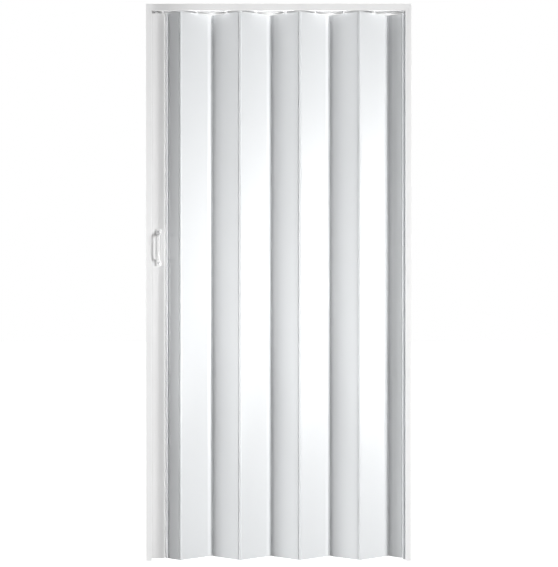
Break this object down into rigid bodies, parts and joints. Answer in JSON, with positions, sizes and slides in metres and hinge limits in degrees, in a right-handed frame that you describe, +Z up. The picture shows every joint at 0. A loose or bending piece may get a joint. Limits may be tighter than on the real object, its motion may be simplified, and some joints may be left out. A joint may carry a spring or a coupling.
{
  "type": "accordion door",
  "caption": "Folding door of narrow hollow panels joined by full-height edge hinges, hung from a top track, with a pull handle on its lead post.",
  "frame": {"origin": "on the floor in the middle of the doorway, in the middle plane of the track", "axes": "+X to the right as seen from the front, towards the wall jamb; -Y to the front; +Z up"},
  "size_m": [1, 0.067, 2.1],
  "materials": {
    "panel": "satin",
    "frame": "satin",
    "handle": "gloss",
    "fittings": "matt",
    "magnet": "matt",
    "steel": "brushed"
  },
  "bodies": {
    "frame": {"top_track": "frame", "strike_jamb": "frame", "wall_jamb": "frame", "corner_brackets": "fittings", "wall_hinge_strip": "panel", "keeper_strip": "steel"},
    "wall_half": {"wall_half_panel": "panel"},
    "fold_panel_7": {"panel_7": "panel", "glider_7": "fittings"},
    "fold_panel_6": {"panel_6": "panel", "glider_6": "fittings"},
    "fold_panel_5": {"panel_5": "panel", "glider_5": "fittings"},
    "fold_panel_4": {"panel_4": "panel", "glider_4": "fittings"},
    "fold_panel_3": {"panel_3": "panel", "glider_3": "fittings"},
    "fold_panel_2": {"panel_2": "panel", "glider_2": "fittings"},
    "fold_panel_1": {"panel_1": "panel", "glider_1": "fittings"},
    "lead_half": {"lead_half_panel": "panel"},
    "post": {"lead_post": "panel", "post_carriage": "fittings", "post_bottom_cap": "fittings", "magnet_strip": "magnet", "front_handle": "handle", "rear_handle": "handle", "handle_screws": "steel"}
  },
  "joints": [
    {"name": "wall_hinge", "type": "hinge", "parent": "frame", "child": "wall_half", "pos_m": [0.474, 0, 0], "axis": [0, 0, -1], "range_deg": [0, 54]},
    {"name": "fold_1", "type": "hinge", "parent": "wall_half", "child": "fold_panel_7", "pos_m": [0.41787, 0.02499, 0], "axis": [0, 0, 1], "range_deg": [0, 108]},
    {"name": "fold_2", "type": "hinge", "parent": "fold_panel_7", "child": "fold_panel_6", "pos_m": [0.30562, -0.02499, 0], "axis": [0, 0, -1], "range_deg": [0, 108]},
    {"name": "fold_3", "type": "hinge", "parent": "fold_panel_6", "child": "fold_panel_5", "pos_m": [0.19337, 0.02499, 0], "axis": [0, 0, 1], "range_deg": [0, 108]},
    {"name": "fold_4", "type": "hinge", "parent": "fold_panel_5", "child": "fold_panel_4", "pos_m": [0.08113, -0.02499, 0], "axis": [0, 0, -1], "range_deg": [0, 108]},
    {"name": "fold_5", "type": "hinge", "parent": "fold_panel_4", "child": "fold_panel_3", "pos_m": [-0.03112, 0.02499, 0], "axis": [0, 0, 1], "range_deg": [0, 108]},
    {"name": "fold_6", "type": "hinge", "parent": "fold_panel_3", "child": "fold_panel_2", "pos_m": [-0.14338, -0.02499, 0], "axis": [0, 0, -1], "range_deg": [0, 108]},
    {"name": "fold_7", "type": "hinge", "parent": "fold_panel_2", "child": "fold_panel_1", "pos_m": [-0.25562, 0.02499, 0], "axis": [0, 0, 1], "range_deg": [0, 108]},
    {"name": "fold_8", "type": "hinge", "parent": "fold_panel_1", "child": "lead_half", "pos_m": [-0.36788, -0.02499, 0], "axis": [0, 0, -1], "range_deg": [0, 108]},
    {"name": "post_hinge", "type": "hinge", "parent": "lead_half", "child": "post", "pos_m": [-0.424, 0, 0], "axis": [0, 0, 1], "range_deg": [0, 54]}
  ],
  "couplings": [
    {"joint": "fold_1", "follows": "wall_hinge", "ratio": 2},
    {"joint": "fold_2", "follows": "wall_hinge", "ratio": 2},
    {"joint": "fold_3", "follows": "wall_hinge", "ratio": 2},
    {"joint": "fold_4", "follows": "wall_hinge", "ratio": 2},
    {"joint": "fold_5", "follows": "wall_hinge", "ratio": 2},
    {"joint": "fold_6", "follows": "wall_hinge", "ratio": 2},
    {"joint": "fold_7", "follows": "wall_hinge", "ratio": 2},
    {"joint": "fold_8", "follows": "wall_hinge", "ratio": 2},
    {"joint": "post_hinge", "follows": "wall_hinge", "ratio": 1}
  ]
}
